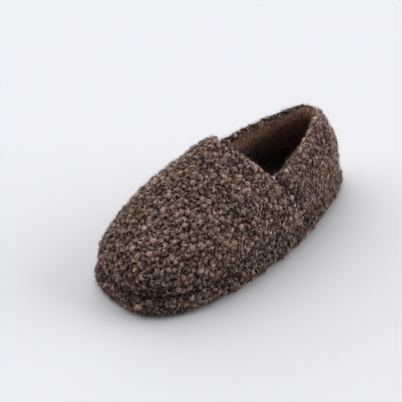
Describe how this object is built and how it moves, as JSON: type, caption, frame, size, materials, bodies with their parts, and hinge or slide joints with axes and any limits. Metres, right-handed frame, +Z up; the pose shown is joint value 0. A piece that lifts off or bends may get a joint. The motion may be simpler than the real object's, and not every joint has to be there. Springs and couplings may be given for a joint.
{
  "type": "house slipper",
  "caption": "Closed-back house slipper for the left foot with a curly pile upper, a plush lining and a soft fabric-covered platform sole.",
  "frame": {"origin": "on the floor, under the middle of the slipper's length and width", "axes": "+Y from toe to heel, +X to the outer side of a left foot, +Z up out of the opening"},
  "size_m": [0.1203, 0.2772, 0.0964],
  "materials": {
    "curly_pile": "dense curled brown pile, matt, with dark gaps between the curls",
    "plush_lining": "short dense reddish-brown plush, brushed downwards",
    "interlining_foam": "thin open-cell foam interlining, hidden",
    "footbed_foam": "soft open-cell foam, hidden",
    "platform_foam": "firm closed-cell foam, hidden",
    "fibre_board": "pressed fibre board, hidden",
    "outsole_rubber": "matt moulded rubber with shallow grooves",
    "sewing_thread": "dark brown polyester sewing thread"
  },
  "bodies": {
    "root": {"collar_seam_thread": "sewing_thread", "footbed_foam": "footbed_foam", "heel_counter": "fibre_board", "heel_seam_thread": "sewing_thread", "insole_board": "fibre_board", "outsole": "outsole_rubber", "platform_cover": "curly_pile", "platform_foam": "platform_foam", "platform_seam_thread": "sewing_thread", "quarter_lining_lateral": "plush_lining", "quarter_lining_medial": "plush_lining", "quarter_outer_lateral": "curly_pile", "quarter_outer_medial": "curly_pile", "quarter_padding_lateral": "interlining_foam", "quarter_padding_medial": "interlining_foam", "side_seam_thread_lateral": "sewing_thread", "side_seam_thread_medial": "sewing_thread", "sock_lining": "plush_lining", "throat_seam_thread": "sewing_thread", "vamp_lining": "plush_lining", "vamp_outer": "curly_pile", "vamp_padding": "interlining_foam"}
  },
  "joints": []
}
